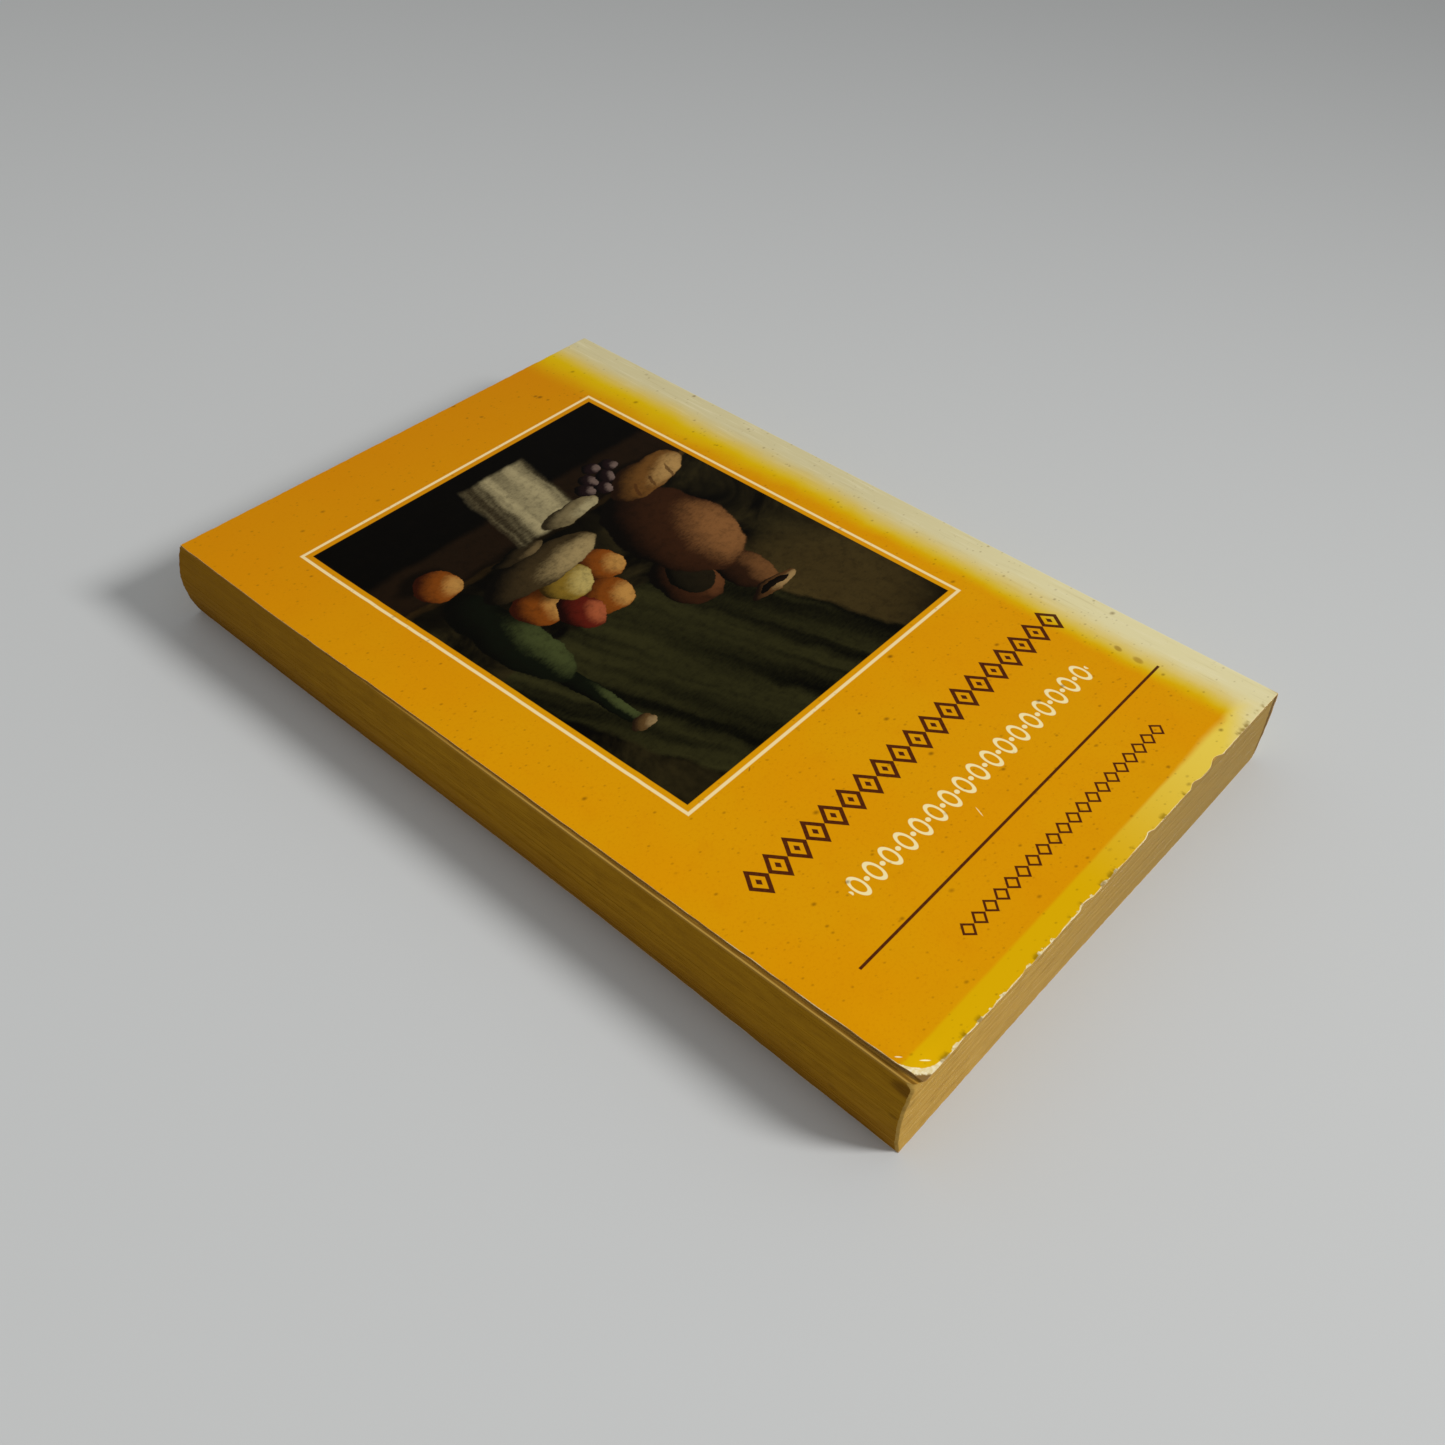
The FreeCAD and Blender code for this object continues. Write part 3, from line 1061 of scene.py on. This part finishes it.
def leaf_layers(across, along):
    """A function that gives the face of one group of leaves at height z, as a grid of places."""
    source = random.Random(11)
    fore_steps = random_walk(LEAF_GROUPS, LEAF_STEP, LEAF_STEP_RETURN, source)
    head_steps = random_walk(LEAF_GROUPS, LEAF_STEP, LEAF_STEP_RETURN, source)
    tail_steps = random_walk(LEAF_GROUPS, LEAF_STEP, LEAF_STEP_RETURN, source)
    wave_phase = np.cumsum([source.uniform(-0.35, 0.35) for _ in range(LEAF_GROUPS)])
    i, j = np.meshgrid(across, along, indexing="ij")

    def layer(group, z):
        phase = wave_phase[group]
        down = (front_leaf_z - z) / (front_leaf_z - back_leaf_z)
        flare = LAST_LEAF_FLARE * down * (1 - eased(cover_width * i, *BACK_OVERHANG_REACH))
        head_shift = head_steps[group] - LEAF_STEP_INSET + WAVE_HEIGHT * np.sin(9 * i + phase)
        tail_shift = tail_steps[group] - LEAF_STEP_INSET + WAVE_HEIGHT * np.sin(8 * i - phase)
        y = tail_y + cover_height * j
        y = y + eased(j, 0.97, 1) * (head_shift + flare)
        y = y - eased(-j, -0.03, 0) * tail_shift
        spine_reach = math.sqrt(leaf_back_radius**2 - (z - middle_z) ** 2)
        back_x = spine_centre_x - spine_reach
        edge = fore_edge_x(y, z) + fore_steps[group]
        edge = edge + FORE_WAVE_HEIGHT * np.sin(7.0 * j + 1.7 * phase)
        x = back_x + (edge - back_x) * i
        near_top = eased(np.array(z), front_leaf_z - TOP_CORNER_DEPTH, front_leaf_z)
        radius = LEAF_CORNER_RADIUS + (TOP_CORNER_RADIUS - LEAF_CORNER_RADIUS) * near_top
        beyond = np.clip((x - edge + radius) / radius, 0, 1)
        y = y - radius * (1 - np.sqrt(1 - beyond**2)) * eased(y, head_y - 5, head_y - 0.5)
        return np.stack([x, y, np.full_like(x, z)], -1).reshape(-1, 3)

    return layer


def make_leaves(materials):
    """The block of leaves, in groups whose edges stand a little in front of each other."""
    across = graded(0.0, 1.0, LEAF_ACROSS_STEPS, LEAF_STEP_GROWTH)
    along = graded(0.0, 1.0, LEAF_ALONG_STEPS, LEAF_STEP_GROWTH)
    layer = leaf_layers(across, along)
    levels = np.linspace(back_leaf_z, front_leaf_z, LEAF_GROUPS + 1)
    size = (len(across), len(along))
    grid = np.arange(size[0] * size[1]).reshape(size)
    ring = np.concatenate([grid[-1, :-1], grid[:0:-1, -1], grid[0, :0:-1], grid[:-1, 0]])
    ring_count = len(ring)
    on_fore_edge = np.arange(ring_count) < size[1] - 1
    ring_material = np.where(on_fore_edge, FORE_EDGES, END_EDGES).tolist()
    rings = []
    for group in range(LEAF_GROUPS):
        for z in (levels[group], levels[group + 1]):
            rings.append(layer(group, z)[ring])
    bottom = layer(0, levels[0])
    top = layer(LEAF_GROUPS - 1, levels[-1])
    between_faces = np.concatenate(rings[1:-1])
    points = np.concatenate([bottom, between_faces, top])
    top_start = len(bottom) + len(between_faces)
    indices = [ring]
    for count in range(len(rings) - 2):
        indices.append(len(bottom) + count * ring_count + np.arange(ring_count))
    indices.append(top_start + ring)
    faces = []
    face_materials = []
    for lower, upper in zip(indices[:-1], indices[1:]):
        quads = zip(lower, np.roll(lower, -1), np.roll(upper, -1), upper)
        faces.extend(tuple(int(i) for i in quad) for quad in quads)
        face_materials.extend(ring_material)
    for start, flip in ((0, True), (top_start, False)):
        corner = grid + start
        corners = (corner[:-1, :-1], corner[1:, :-1], corner[1:, 1:], corner[:-1, 1:])
        for quad in zip(*(each.ravel().tolist() for each in corners)):
            faces.append(quad[::-1] if flip else quad)
            face_materials.append(LEAF_FACE)
    attributes = {"at_rest": points.copy()}
    return make_mesh("leaves", points, faces, face_materials, materials, attributes)


def make_floor():
    """A plain pale surface that is seen through, and lit through, from below."""
    bpy.ops.mesh.primitive_plane_add(size=FLOOR_SIZE, location=(0, 0, -FLOOR_DROP))
    floor = bpy.context.object
    floor.name = "floor"
    paint = Paint("floor")
    diffuse = paint.node("BsdfDiffuse")
    diffuse.inputs["Color"].default_value = linear(*FLOOR_GREY)
    clear = paint.node("BsdfTransparent")
    side = Field(paint, paint.node("NewGeometry").outputs["Backfacing"])
    shadow_ray = Field(paint, paint.node("LightPath").outputs["Is Shadow Ray"])
    mix = paint.node("MixShader")
    paint.plug(mix.inputs[0], paint.most(side, shadow_ray))
    paint.link(diffuse.outputs[0], mix.inputs[1])
    paint.link(clear.outputs[0], mix.inputs[2])
    paint.link(mix.outputs[0], paint.node("OutputMaterial").inputs["Surface"])
    floor.data.materials.append(paint.material)


def place_lamp(lamp, place, target):
    """Puts a lamp at a place in metres, pointing at target."""
    holder = bpy.data.objects.new(lamp.name, lamp)
    holder.location = place
    aim = Vector(target) - Vector(place)
    holder.rotation_euler = aim.to_track_quat("-Z", "Y").to_euler()
    bpy.context.scene.collection.objects.link(holder)


def make_lights():
    """A soft lamp beyond the head on the spine side, an even sky, and a lamp from below."""
    key = bpy.data.lights.new("key", "SPOT")
    key.energy = KEY_LAMP["power"]
    key.shadow_soft_size = KEY_LAMP["radius"]
    key.spot_size = math.radians(KEY_LAMP["cone"])
    key.spot_blend = 1.0
    place_lamp(key, KEY_PLACE, KEY_TARGET)
    low_sun = bpy.data.lights.new("from_below", "SUN")
    low_sun.energy = LOW_SUN["power"]
    low_sun.angle = LOW_SUN["spread_radians"]
    place_lamp(low_sun, LOW_SUN_PLACE, (0, 0, 0))
    world = bpy.data.worlds.new("studio")
    world.use_nodes = True
    background = world.node_tree.nodes["Background"]
    background.inputs["Color"].default_value = linear(*SKY_WHITE)
    background.inputs["Strength"].default_value = SKY_STRENGTH
    bpy.context.scene.world = world


def make_camera():
    """The photograph's viewpoint."""
    forward = Vector(CAMERA_FORWARD).normalized()
    right = Vector(CAMERA_RIGHT)
    right = (right - forward * right.dot(forward)).normalized()
    up = right.cross(forward)
    lens = bpy.data.cameras.new("camera")
    lens.sensor_width = SENSOR_WIDTH
    lens.lens = SENSOR_WIDTH * FOCAL_PIXELS / PHOTO_PIXELS
    lens.clip_start = CLIP_START_METRES
    lens.clip_end = CLIP_END_METRES
    camera = bpy.data.objects.new("camera", lens)
    turn = Matrix((right, up, -forward)).transposed().to_4x4()
    cover_middle = Vector(((spine_x + fore_x) / 2, (tail_y + head_y) / 2, 0))
    camera.matrix_world = Matrix.Translation((cover_middle + Vector(CAMERA_PLACE)) * MM) @ turn
    bpy.context.scene.collection.objects.link(camera)
    bpy.context.scene.camera = camera


def front_fore_line(y):
    """The front board's fore-edge: a shallow bulge near the tail and a worn corner at the head."""
    bulge = FORE_EDGE_BULGE * np.exp(-(((y + 58) / 24) ** 2))
    return fore_x + bulge - CORNER_RETREAT * eased(y, head_y - 5, head_y - 1)


def back_fore_line(y):
    return fore_edge_x(y, back_leaf_z)


plain_print = cover_print("cover_plain")
rows_print = cover_print("cover_rows", FRONT_MARKS, has_rows=True)
picture_print = cover_print("cover_picture", PICTURE_MARKS, has_picture=True)
inside_material = bare_card("cover_inside", (224, 212, 180), (196, 168, 114), 0.05)
cut_material = bare_card("cover_cut", (216, 184, 124), (176, 136, 74), 0.8)
card_materials = [plain_print, inside_material, cut_material]

front_materials = [rows_print, inside_material, cut_material, picture_print]
front = make_board("front_card", True, front_fore_line, front_materials)
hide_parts("front_cover")
back = make_board("back_card", False, back_fore_line, card_materials)
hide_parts("back_cover")
spine = make_spine(card_materials)
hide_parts("spine_cover")
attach(spine, "book")

fore_material = leaf_edges(
    "leaf_fore_edges", (160, 116, 16), (146, 103, 9), (106, 70, 4), "y"
)
end_material = leaf_edges(
    "leaf_end_edges", (182, 146, 71), (169, 133, 60), (120, 87, 34), "x"
)
leaves = make_leaves([fore_material, end_material, leaf_face()])
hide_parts("text_block")
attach(leaves, "book")

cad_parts["spine_glue"].material_slots[0].material = old_glue()

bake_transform(front)
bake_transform(back)

make_floor()
make_lights()
make_camera()
bpy.context.scene.view_settings.view_transform = "Standard"
